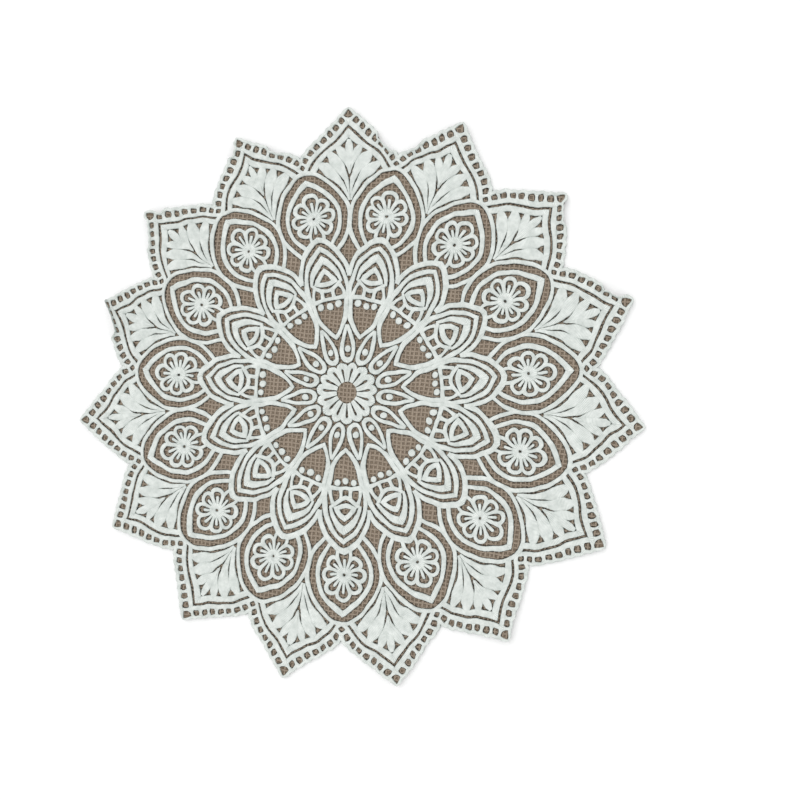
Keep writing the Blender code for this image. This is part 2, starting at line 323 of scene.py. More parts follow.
@dataclass
class Band:
    """One satin-stitched band of the ornament, drawn once for a petal."""

    rows: Sequence[Row]
    axis: Axis = Axis.PETAL
    fold: Fold = Fold.PAIR
    crown: float = 1.85
    round_end: bool = False
    # Whether a dark piece of painted shade runs beside the band
    has_painted_shade_beside: bool = True
    step: float = 0.95
    # An edge point that crosses the axis within this many half widths of a corner moves to it
    fan_reach: ClassVar[float] = 1.5

    def core(self) -> np.ndarray:
        """x, y and half width along the rows, before the band is folded."""
        return smooth(self.rows, self.step)

    def line(self) -> np.ndarray:
        """Fold the rows' line over as the band asks.

        Returns:
            The band's middle line on its axis: x, y and half width, one point a row.
        """
        line = self.core()
        if self.round_end:
            line = np.vstack([line, self.rounding(line[-1], line[-2])])
        if self.fold in (Fold.ARCH, Fold.LOOP):
            image = line[:0:-1] * (-1.0, 1.0, 1.0)
            line = np.vstack([image[self.fold is Fold.LOOP:], line])
        return line

    @staticmethod
    def rounding(last: np.ndarray, before: np.ndarray) -> np.ndarray:
        """Round a band's end off.

        Args:
            last: x, y and half width of the line's last point.
            before: The same of the point before it.

        Returns:
            The four points that follow the last one.
        """
        heading = last[:2] - before[:2]
        heading = heading / np.hypot(*heading)
        places = last[:2] + np.outer(np.sin(ROUNDING), heading) * last[2]
        return np.column_stack([places, last[2] * np.cos(ROUNDING)])

    def outline(self) -> np.ndarray:
        """Lay the stitches across the band's middle line.

        Stitches that would cross the axis beside a corner all start from the corner, as a fan.
        A loop's last stitch lies on its first.

        Returns:
            x and y of the left edge and of the right edge, one stitch a row.
        """
        line = self.line()
        both = edges(line, self.fold is Fold.LOOP)
        corners = np.flatnonzero(np.abs(line[:, 0]) < TINY)
        if self.fold in (Fold.ARCH, Fold.LOOP):
            for edge in both:
                for place in np.flatnonzero(edge[:, 0] * line[:, 0] < 0.0):
                    apart = np.hypot(*(edge[corners] - edge[place]).T)
                    if apart.min() < line[place, 2] * self.fan_reach:
                        edge[place] = edge[corners[apart.argmin()]]
        outline = np.hstack(both)
        return np.vstack([outline, outline[:1]]) if self.fold is Fold.LOOP else outline

    def around(self) -> Iterable[np.ndarray]:
        """Repeat the band round the cloth.

        Returns:
            The band's outline on each petal, each followed by its mirror image if it has one.
        """
        outline = self.outline()
        sides = (1.0, -1.0) if self.fold is Fold.PAIR else (1.0,)
        for sector in range(SECTORS):
            angle = (sector + self.axis.value) * PETAL_STEP
            for side in sides:
                turned = clockwise(outline[:, 0::2] * side, outline[:, 1::2], angle)
                yield np.stack(turned, axis=2).reshape(len(outline), 4)


@dataclass
class ScallopedBand(Band):
    """A band that bulges out round each eyelet beside it."""

    pitch: float = 6.2
    first: float = 3.3
    swell: float = 0.4
    full_swell: float = 9.0

    def core(self) -> np.ndarray:
        """Push the rows' line outwards by turns, and less so beside the tip.

        Returns:
            x, y and half width, one point a row.
        """
        line = super().core()
        steps = np.gradient(line[:, :2], axis=0)
        heading = steps / np.hypot(*steps.T)[:, None]
        travel = np.arange(len(line)) * self.step
        bulge = self.swell * np.cos((travel - self.first) * math.tau / self.pitch)
        bulge *= np.clip(travel / self.full_swell, 0.0, 1.0)
        line[:, 0] -= heading[:, 1] * bulge
        line[:, 1] += heading[:, 0] * bulge
        return line


@dataclass
class Bead(Band):
    """A round dot of satin stitch. Its one row holds its middle and its radius."""

    def line(self) -> np.ndarray:
        """Make a circle of stitches.

        Returns:
            x, y and half width, one point a row.
        """
        middle = self.rows[0]
        turns = np.concatenate([-ROUNDING[::-1], [0.0], ROUNDING])
        return np.column_stack([np.full(len(turns), middle.x),
                                middle.y + middle.half * np.sin(turns),
                                middle.half * np.cos(turns)])


def linear(code: str) -> tuple[float, float, float, float]:
    """Turn a colour from sRGB to linear, by the sRGB standard's own numbers.

    Args:
        code: The colour as hex, with its number sign.

    Returns:
        Red, green, blue and an alpha of 1.
    """
    values = [int(code[place:place + 2], 16) / 255.0 for place in (1, 3, 5)]
    red, green, blue = (value / 12.92 if value <= 0.04045 else ((value + 0.055) / 1.055) ** 2.4
                        for value in values)
    return red, green, blue, 1.0


def add_node(tree: bpy.types.NodeTree, kind: str, settings: dict | None = None,
             inputs: dict | None = None) -> bpy.types.Node:
    """Add a node with its settings, values and links.

    Args:
        tree: The tree that the node goes into.
        kind: The node's type.
        settings: Properties of the node itself.
        inputs: For each input, by name or number, a value or the output socket that feeds it.

    Returns:
        The new node.
    """
    node = tree.nodes.new(kind)
    for name, value in (settings or {}).items():
        setattr(node, name, value)
    for name, value in (inputs or {}).items():
        if isinstance(value, bpy.types.NodeSocket):
            tree.links.new(value, node.inputs[name])
        else:
            node.inputs[name].default_value = value
    return node


def geometry_tree(name: str, inputs: Sequence[tuple[str, str]]) -> tuple[
        bpy.types.NodeTree, bpy.types.Node, bpy.types.Node]:
    """A geometry tree with named inputs.

    Args:
        name: The tree's name.
        inputs: Each input's name and socket type.

    Returns:
        The tree, its input node and its output node.
    """
    tree = bpy.data.node_groups.new(name, "GeometryNodeTree")
    tree.interface.new_socket("Geometry", in_out="INPUT", socket_type="NodeSocketGeometry")
    for label, kind in inputs:
        tree.interface.new_socket(label, in_out="INPUT", socket_type=kind)
    tree.interface.new_socket("Geometry", in_out="OUTPUT", socket_type="NodeSocketGeometry")
    return tree, tree.nodes.new("NodeGroupInput"), tree.nodes.new("NodeGroupOutput")


# How a point (x, y) of the unit circle becomes a reach across the band and a height: each step's
# name, its operation and what it works on
PROFILE_STEPS = (
    ("size", "ABSOLUTE", ("x",)),
    ("filled", "POWER", ("size", "fullness")),
    ("aside", "SIGN", ("x",)),
    ("wide", "MULTIPLY", ("aside", "filled")),
    ("above", "MAXIMUM", ("y", 0.0)),
    ("tall", "POWER", ("above", "fullness")),
    ("edge", "MULTIPLY", ("x", "x")),
    ("shake", "MULTIPLY", ("random", "jitter")),
    ("shaken", "MULTIPLY", ("shake", "edge")),
    ("reach", "MULTIPLY_ADD", ("wide", "half_width", "shaken")),
    ("depth", "SUBTRACT", ("crown", "foot")),
    ("height", "MULTIPLY_ADD", ("tall", "depth", "foot")),
)


def swept_tree() -> bpy.types.NodeTree:
    """The tree that sweeps a profile along rails and shapes it by the rails' own attributes.

    Each rail point carries its place (spine), the direction across the band (side), the band's
    half width, foot and crown, and the distance along it. The profile is half a circle closed
    by a flat foot. Its points carry their place on the unit circle (ring).

    Returns:
        The tree.
    """
    tree, given, made = geometry_tree("satin_band", [
        ("Profile Points", "NodeSocketInt"),
        ("Fullness", "NodeSocketFloat"),
        ("Edge Jitter", "NodeSocketFloat"),
        ("Seed", "NodeSocketInt"),
        ("Material", "NodeSocketMaterial"),
    ])
    rails = add_node(tree, "GeometryNodeMeshToCurve", inputs={"Mesh": given.outputs["Geometry"]})
    arc = add_node(tree, "GeometryNodeCurveArc", {"mode": "RADIUS"}, {
        "Resolution": given.outputs["Profile Points"], "Radius": 1.0, "Start Angle": 0.0,
        "Sweep Angle": math.pi})
    place = add_node(tree, "GeometryNodeInputPosition")
    marked = add_node(
        tree, "GeometryNodeStoreNamedAttribute", {"data_type": "FLOAT_VECTOR", "domain": "POINT"},
        {"Geometry": arc.outputs["Curve"], "Name": "ring", "Value": place.outputs[0]})
    shut = add_node(tree, "GeometryNodeSetSplineCyclic", inputs={
        "Geometry": marked.outputs["Geometry"], "Cyclic": True})
    swept = add_node(tree, "GeometryNodeCurveToMesh", inputs={
        "Curve": rails.outputs["Curve"], "Profile Curve": shut.outputs["Geometry"],
        "Fill Caps": True})
    known = {}
    for name, kind in {**RAIL_FIELDS, "ring": "FLOAT_VECTOR"}.items():
        reader = add_node(tree, "GeometryNodeInputNamedAttribute", {"data_type": kind},
                          {"Name": name})
        known[name] = reader.outputs["Attribute"]
    ring = add_node(tree, "ShaderNodeSeparateXYZ", inputs={0: known["ring"]})
    random = add_node(tree, "FunctionNodeRandomValue", {"data_type": "FLOAT"}, {
        2: -1.0, 3: 1.0, "Seed": given.outputs["Seed"]})
    known |= {"x": ring.outputs["X"], "y": ring.outputs["Y"], "random": random.outputs[1],
              "fullness": given.outputs["Fullness"], "jitter": given.outputs["Edge Jitter"]}
    for name, operation, sources in PROFILE_STEPS:
        step = add_node(tree, "ShaderNodeMath", {"operation": operation}, {
            number: known.get(source, source) for number, source in enumerate(sources)})
        known[name] = step.outputs[0]
    across = add_node(tree, "ShaderNodeVectorMath", {"operation": "SCALE"}, {
        0: known["side"], "Scale": known["reach"]})
    up = add_node(tree, "ShaderNodeCombineXYZ", inputs={"Z": known["height"]})
    flat = add_node(tree, "ShaderNodeVectorMath", {"operation": "ADD"}, {
        0: known["spine"], 1: across.outputs[0]})
    target = add_node(tree, "ShaderNodeVectorMath", {"operation": "ADD"}, {
        0: flat.outputs[0], 1: up.outputs[0]})
    shaped = add_node(tree, "GeometryNodeSetPosition", inputs={
        "Geometry": swept.outputs["Mesh"], "Position": target.outputs[0]})
    threads = add_node(tree, "ShaderNodeCombineXYZ", inputs={
        "X": known["along"], "Y": known["reach"]})
    mapped = add_node(
        tree, "GeometryNodeStoreNamedAttribute", {"data_type": "FLOAT2", "domain": "CORNER"},
        {"Geometry": shaped.outputs["Geometry"], "Name": "UVMap", "Value": threads.outputs[0]})
    soft = add_node(tree, "GeometryNodeSetShadeSmooth", inputs={
        "Geometry": mapped.outputs["Geometry"], "Shade Smooth": True})
    real = add_node(tree, "GeometryNodeRealizeInstances", inputs={
        "Geometry": soft.outputs["Geometry"]})
    dressed = add_node(tree, "GeometryNodeSetMaterial", inputs={
        "Geometry": real.outputs["Geometry"], "Material": given.outputs["Material"]})
    tree.links.new(dressed.outputs["Geometry"], made.inputs["Geometry"])
    return tree


@dataclass
class Rails:
    """The middle lines that a swept piece follows, with what the sweep reads at each point."""

    spine: list[tuple[float, float, float]] = field(default_factory=list)
    side: list[tuple[float, float, float]] = field(default_factory=list)
    half_width: list[float] = field(default_factory=list)
    foot: list[float] = field(default_factory=list)
    crown: list[float] = field(default_factory=list)
    along: list[float] = field(default_factory=list)
    edges: list[tuple[int, int]] = field(default_factory=list)
    # No band is narrower than this on each side of its middle, in metres
    least_half: ClassVar[float] = 1e-6

    def add(self, outline: np.ndarray, foot: float | np.ndarray,
            crown: float | np.ndarray) -> None:
        """Add one band or yarn.

        Args:
            outline: x and y of the left edge and of the right edge, in millimetres.
            foot: The height of the underside, in millimetres.
            crown: The height of the top, in millimetres.
        """
        first, count = len(self.spine), len(outline)
        left, right = outline[:, :2] * MM, outline[:, 2:] * MM
        middle, across = (left + right) / 2.0, (right - left) / 2.0
        half = np.maximum(np.hypot(*across.T), self.least_half)
        self.spine += [(x, y, 0.0) for x, y in middle]
        self.side += [(x, y, 0.0) for x, y in across / half[:, None]]
        self.half_width += list(half)
        self.foot += list(np.broadcast_to(foot, count) * MM)
        self.crown += list(np.broadcast_to(crown, count) * MM)
        self.along += list(distance_along(middle))
        self.edges += [(first + i, first + i + 1) for i in range(count - 1)]

    def mesh(self, name: str) -> bpy.types.Mesh:
        """Make the lines a mesh of edges that carries their attributes.

        Args:
            name: The mesh's name.

        Returns:
            The mesh.
        """
        mesh = bpy.data.meshes.new(name)
        mesh.from_pydata(self.spine, self.edges, [])
        for label, kind in RAIL_FIELDS.items():
            layer = mesh.attributes.new(label, kind, "POINT")
            values = np.array(getattr(self, label), dtype=np.float32).ravel()
            layer.data.foreach_set("vector" if kind == "FLOAT_VECTOR" else "value", values)
        return mesh


class Sweep:
    """Turns rails into a finished piece with the shared geometry tree."""

    tree: ClassVar[bpy.types.NodeTree | None] = None

    @classmethod
    def piece(cls, name: str, rails: Rails, values: dict[str, object]) -> bpy.types.Object:
        """Sweep the rails and lay the result as the cloth lies.

        Args:
            name: The piece's name.
            rails: What it follows.
            values: The tree's inputs by name.

        Returns:
            The piece, a plain mesh at the origin with no modifier.
        """
        if cls.tree is None:
            cls.tree = swept_tree()
        holder = bpy.data.objects.new(f"{name}_rails", rails.mesh(f"{name}_rails"))
        bpy.context.scene.collection.objects.link(holder)
        modifier = holder.modifiers.new("sweep", "NODES")
        modifier.node_group = cls.tree
        for item in cls.tree.interface.items_tree:
            if item.in_out == "INPUT" and item.name in values:
                modifier[item.identifier] = values[item.name]
        bpy.context.view_layer.update()
        evaluated = holder.evaluated_get(bpy.context.evaluated_depsgraph_get())
        mesh = bpy.data.meshes.new_from_object(evaluated)
        mesh.name = name
        bpy.data.objects.remove(holder)
        for label in (*RAIL_FIELDS, "ring"):
            layer = mesh.attributes.get(label)
            if layer is not None:
                mesh.attributes.remove(layer)
        return placed(name, mesh)


def placed(name: str, mesh: bpy.types.Mesh) -> bpy.types.Object:
    """Lay a flat mesh as the cloth lies, turn its faces outwards and make it an object.

    Args:
        name: The piece's name.
        mesh: A mesh on the flat cloth.

    Returns:
        The object, at the origin.
    """
    points = np.zeros(len(mesh.vertices) * 3)
    mesh.vertices.foreach_get("co", points)
    mesh.vertices.foreach_set("co", laid(points.reshape(-1, 3)).ravel())
    work = bmesh.new()
    work.from_mesh(mesh)
    bmesh.ops.recalc_face_normals(work, faces=work.faces)
    work.to_mesh(mesh)
    work.free()
    piece = bpy.data.objects.new(name, mesh)
    bpy.context.scene.collection.objects.link(piece)
    return piece


@dataclass(frozen=True)
class Finish:
    """What every thread's finish has: two tones, a surface, and a relief where it shows one."""

    light: str
    shade: str
    roughness: float
    specular: float
    relief: float = 0.0
    bump: float = 0.0
    name: ClassVar[str] = "thread"

    def look(self, tree: bpy.types.NodeTree) -> tuple[bpy.types.NodeSocket, bpy.types.NodeSocket]:
        """The output that mixes shade with light, and the output that raises the relief."""
        raise NotImplementedError

    def surface(self) -> dict[str, float]:
        """The shader's values by socket."""
        return {"Roughness": self.roughness, "Specular IOR Level": self.specular}

    def build(self) -> bpy.types.Material:
        """Make the finish a material.

        Returns:
            The material.
        """
        material = bpy.data.materials.new(self.name)
        material.use_nodes = True
        tree = material.node_tree
        shader = tree.nodes["Principled BSDF"]
        tone, height = self.look(tree)
        colour = add_node(tree, "ShaderNodeMix", {"data_type": "RGBA"}, {
            0: tone, 6: linear(self.shade), 7: linear(self.light)})
        tree.links.new(colour.outputs[2], shader.inputs["Base Color"])
        if self.relief > 0.0:
            bump = add_node(tree, "ShaderNodeBump", None, {
                "Strength": self.bump, "Distance": self.relief, "Height": height})
            tree.links.new(bump.outputs["Normal"], shader.inputs["Normal"])
        for socket, value in self.surface().items():
            shader.inputs[socket].default_value = value
        return material


@dataclass(frozen=True)
class WhiteFloss(Finish):
    """Mercerised cotton embroidery floss, machine-stitched side by side.

    It reads as a cool, soft white with a faint silky sheen across the stitches.
    """

    light: str = "#F1F5F1"
    shade: str = "#A8B1AC"
    roughness: float = 0.62
    specular: float = 0.35
    relief: float = 0.14 * MM
    bump: float = 0.8
    sheen: float = 0.18
    sheen_roughness: float = 0.4
    refraction: float = 1.5
    # Real stitches lie 0.35 mm apart, too fine to show, so they are drawn 0.8 mm apart
    stitch_spacing: float = 0.8 * MM
    mottle: float = 4.2 * MM
    # How much the stitches and the mottle count in the mix of shade and light
    stitch_share: float = 0.5
    mottle_share: float = 0.9
    # A flank this steep, as the upward share of its normal, gets the full painted shade, fading
    # out towards the level share; it stands for the stitches' ends lying in shade
    steep: float = 0.35
    level: float = 0.92
    level_tone: float = -0.14
    painted_flank_shade: float = 0.42
    name: ClassVar[str] = "white_cotton_floss"

    def look(self, tree: bpy.types.NodeTree) -> tuple[bpy.types.NodeSocket, bpy.types.NodeSocket]:
        """Draw stitches across the band by its own UV map, mottled, and with shade painted on
        steep flanks.

        Args:
            tree: The material's tree.

        Returns:
            The output that mixes shade with light, and the output that raises the relief.
        """
        uv = add_node(tree, "ShaderNodeUVMap", {"uv_map": "UVMap"})
        spots = add_node(tree, "ShaderNodeTexCoord")
        threads = add_node(tree, "ShaderNodeTexWave", {
            "wave_type": "BANDS", "bands_direction": "X", "wave_profile": "SIN"}, {
            "Vector": uv.outputs["UV"], "Scale": math.tau / (WAVE_RATE * self.stitch_spacing),
            "Distortion": 1.6, "Detail": 1.0, "Detail Scale": 0.6})
        cloud = add_node(tree, "ShaderNodeTexNoise", None, {
            "Vector": spots.outputs["Object"], "Scale": 1.0 / self.mottle, "Detail": 4.0})
        place = add_node(tree, "ShaderNodeNewGeometry")
        normal = add_node(tree, "ShaderNodeSeparateXYZ", None, {"Vector": place.outputs["Normal"]})
        upward = add_node(tree, "ShaderNodeMath", {"operation": "ABSOLUTE"}, {
            0: normal.outputs["Z"]})
        painted_flank = add_node(tree, "ShaderNodeMapRange", None, {
            "Value": upward.outputs[0], "From Min": self.steep, "From Max": self.level,
            "To Min": self.level_tone - self.painted_flank_shade, "To Max": self.level_tone})
        depth = add_node(tree, "ShaderNodeMath", {"operation": "MULTIPLY_ADD"}, {
            0: threads.outputs["Fac"], 1: self.stitch_share, 2: painted_flank.outputs["Result"]})
        tone = add_node(tree, "ShaderNodeMath", {"operation": "MULTIPLY_ADD"}, {
            0: cloud.outputs["Fac"], 1: self.mottle_share, 2: depth.outputs[0]})
        return tone.outputs[0], threads.outputs["Fac"]

    def surface(self) -> dict[str, float]:
        """The shader's values by socket, with the floss's sheen."""
        return super().surface() | {"Sheen Weight": self.sheen, "IOR": self.refraction,
                                    "Sheen Roughness": self.sheen_roughness}


@dataclass(frozen=True)
class TaupeYarn(Finish):
    """Unbleached two-ply cotton and linen yarn, loosely twisted.

    It reads as a warm grey brown, matt and a little hairy, lighter on top of each crossing, with
    shade painted on each yarn's flanks.
    """

    light: str = "#A19383"
    shade: str = "#7A6D60"
    roughness: float = 0.85
    specular: float = 0.25
    relief: float = 0.1 * MM
    bump: float = 0.7
    # The plies turn round once in 1.1 mm, at this angle to the yarn
    twist: float = 1.1 * MM
    ply_angle: float = math.radians(38.0)
    slub: float = 5.0 * MM
    # How much the plies and the slubs count in the mix of shade and light
    ply_share: float = 0.25
    slub_share: float = 0.8
    # Between these distances from its middle a yarn darkens from one tone to the other: shade
    # painted on its flanks, where they dip beside and under the next yarns
    flank_start: float = 0.45 * MM
    flank_stop: float = 1.1 * MM
    top_tone: float = 0.25
    painted_flank_tone: float = -0.5
    name: ClassVar[str] = "taupe_net_yarn"

    def look(self, tree: bpy.types.NodeTree) -> tuple[bpy.types.NodeSocket, bpy.types.NodeSocket]:
        """Twist plies along each yarn by its own UV map, and paint shade on its flanks.

        Args:
            tree: The material's tree.

        Returns:
            The output that mixes shade with light, and the output that raises the relief.
        """
        uv = add_node(tree, "ShaderNodeUVMap", {"uv_map": "UVMap"})
        slant = add_node(tree, "ShaderNodeMapping", None, {
            "Vector": uv.outputs["UV"], "Rotation": (0.0, 0.0, self.ply_angle)})
        plies = add_node(tree, "ShaderNodeTexWave", {
            "wave_type": "BANDS", "bands_direction": "X", "wave_profile": "SIN"}, {
            "Vector": slant.outputs["Vector"], "Scale": math.tau / (WAVE_RATE * self.twist),
            "Distortion": 1.0, "Detail": 1.0})
        spots = add_node(tree, "ShaderNodeTexCoord")
        cloud = add_node(tree, "ShaderNodeTexNoise", None, {
            "Vector": spots.outputs["Object"], "Scale": 1.0 / self.slub, "Detail": 4.0})
        place = add_node(tree, "ShaderNodeSeparateXYZ", None, {0: uv.outputs["UV"]})
        aside = add_node(tree, "ShaderNodeMath", {"operation": "ABSOLUTE"}, {
            0: place.outputs["Y"]})
        painted_flank = add_node(tree, "ShaderNodeMapRange", {"interpolation_type": "SMOOTHSTEP"}, {
            "Value": aside.outputs[0], "From Min": self.flank_start, "From Max": self.flank_stop,
            "To Min": self.top_tone, "To Max": self.painted_flank_tone})
        twisted = add_node(tree, "ShaderNodeMath", {"operation": "MULTIPLY_ADD"}, {
            0: plies.outputs["Fac"], 1: self.ply_share, 2: painted_flank.outputs["Result"]})
        tone = add_node(tree, "ShaderNodeMath", {"operation": "MULTIPLY_ADD"}, {
            0: cloud.outputs["Fac"], 1: self.slub_share, 2: twisted.outputs[0]})
        return tone.outputs[0], plies.outputs["Fac"]


@dataclass(frozen=True)
class GrainyFinish(Finish):
    """A finish whose tone wanders with a fine grain."""

    grain: float = 1.0 * MM

    def look(self, tree: bpy.types.NodeTree) -> tuple[bpy.types.NodeSocket, bpy.types.NodeSocket]:
        """Spread the grain over the piece by Object coordinates.

        Args:
            tree: The material's tree.

        Returns:
            The output that mixes shade with light, and the output that raises the relief.
        """
        spots = add_node(tree, "ShaderNodeTexCoord")
        grain = add_node(tree, "ShaderNodeTexNoise", None, {
            "Vector": spots.outputs["Object"], "Scale": 1.0 / self.grain, "Detail": 2.0})
        return grain.outputs["Fac"], grain.outputs["Fac"]


@dataclass(frozen=True)
class FibresAndMeshShade(GrainyFinish):
    """The fine fibres that close the net's meshes, in a brown darker than the yarns that is partly
    the cloth's own and partly painted shade.

    They read as small dull brown pits between the yarns.
    """

    # A brown darker than the yarns: partly the cloth's own colour, partly painted shade in the
    # meshes
    light: str = "#897A69"
    shade: str = "#776959"
    roughness: float = 0.95
    specular: float = 0.15
    relief: float = 0.08 * MM
    bump: float = 0.5
    grain: float = 0.9 * MM
    name: ClassVar[str] = "brown_fibres_and_mesh_shade"


@dataclass(frozen=True)
class GrooveShadeFinish(GrainyFinish):
    """The dark, dull finish of the painted shade in the hollow beside the stitches.

    It reads as a dark line that sets every white band off from the net.
    """

    # Dark colours that paint the shade in the hollow beside each band, not a colour the threads
    # have
    light: str = "#4A443D"
    shade: str = "#38332E"
    roughness: float = 0.95
    specular: float = 0.1
    grain: float = 1.2 * MM
    name: ClassVar[str] = "dark_painted_groove_shade"


def edge_radius(place: np.ndarray) -> np.ndarray:
    """The distance from the cloth's centre to its edge in each direction, in millimetres.

    Args:
        place: Directions in petals, clockwise from the one that points to +Y.

    Returns:
        The distances.
    """
    tip = (0.0, TIP_RADIUS)
    valley = (VALLEY_RADIUS * math.sin(PETAL_STEP / 2.0), CHORD_RADIUS)
    turn = np.abs(place - np.rint(place)) * PETAL_STEP
    heading = np.column_stack([np.sin(turn), np.cos(turn)])
    split = math.atan2(*SHOULDER)
    reach = np.zeros(len(turn))
    for (x0, y0), (x1, y1), chosen in ((tip, SHOULDER, turn <= split),
                                       (SHOULDER, valley, turn > split)):
        normal = np.array([y0 - y1, x1 - x0])
        reach[chosen] = (normal @ np.array([x0, y0])) / (heading[chosen] @ normal)
    return reach


@dataclass
class Ground:
    """The fine fibres between the net's yarns, whose darker brown is partly painted shade: a thin
    closed sheet of the cloth's outline.
    """

    fibres_and_shade: FibresAndMeshShade
    inset: float = 0.9
    low: float = 0.2
    high: float = 0.28
    spokes: int = 720
    inner_rings: int = 11
    rim_rings: int = 20
    rim_share: float = 0.79

    def build(self) -> bpy.types.Object:
        """Make the sheet of rings that narrow towards the middle.

        Returns:
            The sheet, dressed.
        """
        place = np.arange(self.spokes) * SECTORS / self.spokes
        edge = edge_radius(place) - self.inset
        shares = np.concatenate([np.linspace(0.0, self.rim_share, self.inner_rings + 1)[1:],
                                 np.linspace(self.rim_share, 1.0, self.rim_rings + 1)[1:]])
        flat = [(0.0, 0.0)]
        for share in shares:
            radius, turn = edge * share, place * PETAL_STEP
            flat += list(zip(radius * np.sin(turn), radius * np.cos(turn)))
        faces = [(0, 1 + (i + 1) % self.spokes, 1 + i) for i in range(self.spokes)]
        for ring in range(len(shares) - 1):
            a, b = 1 + ring * self.spokes, 1 + (ring + 1) * self.spokes
            for i in range(self.spokes):
                j = (i + 1) % self.spokes
                faces.append((a + i, a + j, b + j, b + i))
        count = len(flat)
        points = [(x * MM, y * MM, height * MM)
                  for height in (self.high, self.low) for x, y in flat]
        shell = faces + [tuple(count + v for v in face[::-1]) for face in faces]
        rim = 1 + (len(shares) - 1) * self.spokes
        for i in range(self.spokes):
            j = (i + 1) % self.spokes
            shell.append((rim + i, rim + j, count + rim + j, count + rim + i))
        mesh = bpy.data.meshes.new("net_fibres_and_shade")
        mesh.from_pydata(points, [], shell)
        mesh.materials.append(self.fibres_and_shade.build())
        return placed("net_fibres_and_shade", mesh)


@dataclass
class Net:
    """The plain-woven taupe net: two sets of yarns that pass over and under each other."""

    yarn: TaupeYarn
    pitch: float = 2.95
    turn: float = -5.0
    yarn_half: float = 1.18
    middle: float = 0.42
    sway: float = 0.14
    half_thickness: float = 0.2
    inset: float = 1.5
    # A yarn lies this far off its place at most, and its thickness varies by this factor
    drift: float = 0.12
    slubs: tuple[float, float] = (0.9, 1.1)

    def rails(self) -> Rails:
        """Cut the yarns off inside the cloth's edge.

        Returns:
            Their middle lines.
        """
        rails = Rails()
        count = int(TIP_RADIUS / self.pitch) + 2
        grid = np.arange(-count, count + 1) * self.pitch
        random = np.random.default_rng(7)
        for direction in (0, 1):
            for number, offset in enumerate(grid):
                drift = random.uniform(-self.drift, self.drift)
                across = np.full(len(grid), offset + drift)
                u, v = (grid, across) if direction == 0 else (across, grid)
                x, y = clockwise(u, v, -math.radians(self.turn))
                edge = edge_radius(petal_place(x, y)) - self.inset
                inside = np.flatnonzero(np.hypot(x, y) < edge)
                for run in np.split(inside, np.flatnonzero(np.diff(inside) > 1) + 1):
                    if len(run) < 2:
                        continue
                    over = np.where((run + number + direction) % 2 == 0, 1.0, -1.0) * self.sway
                    half = self.yarn_half * random.uniform(*self.slubs, len(run))
                    low = self.middle + over - self.half_thickness
                    outline = np.hstack(edges(np.column_stack([x[run], y[run], half])))
                    rails.add(outline, low, low + 2.0 * self.half_thickness)
        return rails

    def build(self) -> bpy.types.Object:
        """The net, dressed."""
        return Sweep.piece("net_yarns", self.rails(), {
            "Profile Points": 3, "Fullness": 1.0, "Edge Jitter": 0.05 * MM, "Seed": 3,
            "Material": self.yarn.build()})


@dataclass
class Ornament:
    """A part of the embroidery: the same bands round every petal."""

    floss: bpy.types.Material
    name: ClassVar[str] = "ornament"
    # No two bands' undersides lie at one height, nor do a band's two ends, so where they cross
    # one covers the other
    feet: ClassVar[tuple[float, float]] = (0.02, 0.05)
    foot_climb: ClassVar[float] = 0.015
    jitter: ClassVar[float] = 0.2
    points: ClassVar[int] = 8
    fullness: ClassVar[float] = 0.36
    # A band narrower than this on each side of its middle is also lower, down to a share
    full_height_half: ClassVar[float] = 1.1
    least_height: ClassVar[float] = 0.35
    # Bands differ in height by chance, and by turns of three so that neighbours do
    height_wander: ClassVar[float] = 0.06
    height_stagger: ClassVar[float] = 0.02

    def bands(self) -> list[Band]:
        """The bands of one petal."""
        raise NotImplementedError

    def build(self) -> bpy.types.Object:
        """Sweep the bands of all petals as one piece.

        Returns:
            The piece, dressed.
        """
        rails = Rails()
        random = np.random.default_rng(len(self.name))
        for number, band in enumerate(self.bands()):
            for outline in band.around():
                rise = random.uniform(-self.height_wander, self.height_wander)
                rise = rise + self.height_stagger * (number % 3)
                foot = random.uniform(*self.feet)
                foot = foot + np.linspace(0.0, self.foot_climb, len(outline))
                half = np.hypot(*(outline[:, 2:] - outline[:, :2]).T) / 2.0
                share = (1.0 - self.least_height) * half / self.full_height_half
                share = np.minimum(self.least_height + share, 1.0)
                rails.add(outline, foot, foot + (band.crown + rise - foot) * share)
        return Sweep.piece(self.name, rails, {
            "Profile Points": self.points, "Fullness": self.fullness,
            "Edge Jitter": self.jitter * MM, "Seed": len(self.name), "Material": self.floss})


@dataclass
class PaintedGrooveShade:
    """A dark piece under and beside every band that paints the shade in the hollow next to the
    stitches.
    """

    yarn: bpy.types.Material
    reach: float = 0.6
    feet: tuple[float, float] = (0.1, 0.14)
    foot_climb: float = 0.015
    thickness: float = 0.72
    # A band narrower than this counts as this wide, so that its direction stays sure
    least_width: float = 0.2

    def widened(self, outline: np.ndarray, cornered: bool) -> np.ndarray:
        """The outline of the painted shade beside one band.

        Args:
            outline: The band's own outline.
            cornered: Whether it turns sharply, so that every stitch of it counts.

        Returns:
            The outline moved outwards on both sides, with every other stitch if that is enough.
        """
        rows = outline if cornered else np.vstack([outline[:-1:2], outline[-1:]])
        across = rows[:, 2:] - rows[:, :2]
        across *= self.reach / np.maximum(np.hypot(*across.T), self.least_width)[:, None]
        return rows + np.hstack([-across, across])

    def build(self, ornaments: Sequence[Ornament]) -> bpy.types.Object:
        """Lay the dark pieces of painted shade under and just beside the ornaments' bands.

        Args:
            ornaments: The parts of the embroidery.

        Returns:
            The painted shade as one piece, dressed.
        """
        rails = Rails()
        random = np.random.default_rng(11)
        for ornament in ornaments:
            for band in ornament.bands():
                cornered = band.fold in (Fold.ARCH, Fold.LOOP)
                for outline in band.around() if band.has_painted_shade_beside else ():
                    wide = self.widened(outline, cornered)
                    foot = random.uniform(*self.feet)
                    foot = foot + np.linspace(0.0, self.foot_climb, len(wide))
                    rails.add(wide, foot, foot + self.thickness)
        return Sweep.piece("drawn_threads", rails, {
            "Profile Points": 4, "Fullness": 0.3, "Edge Jitter": 0.12 * MM, "Seed": 5,
            "Material": self.yarn})


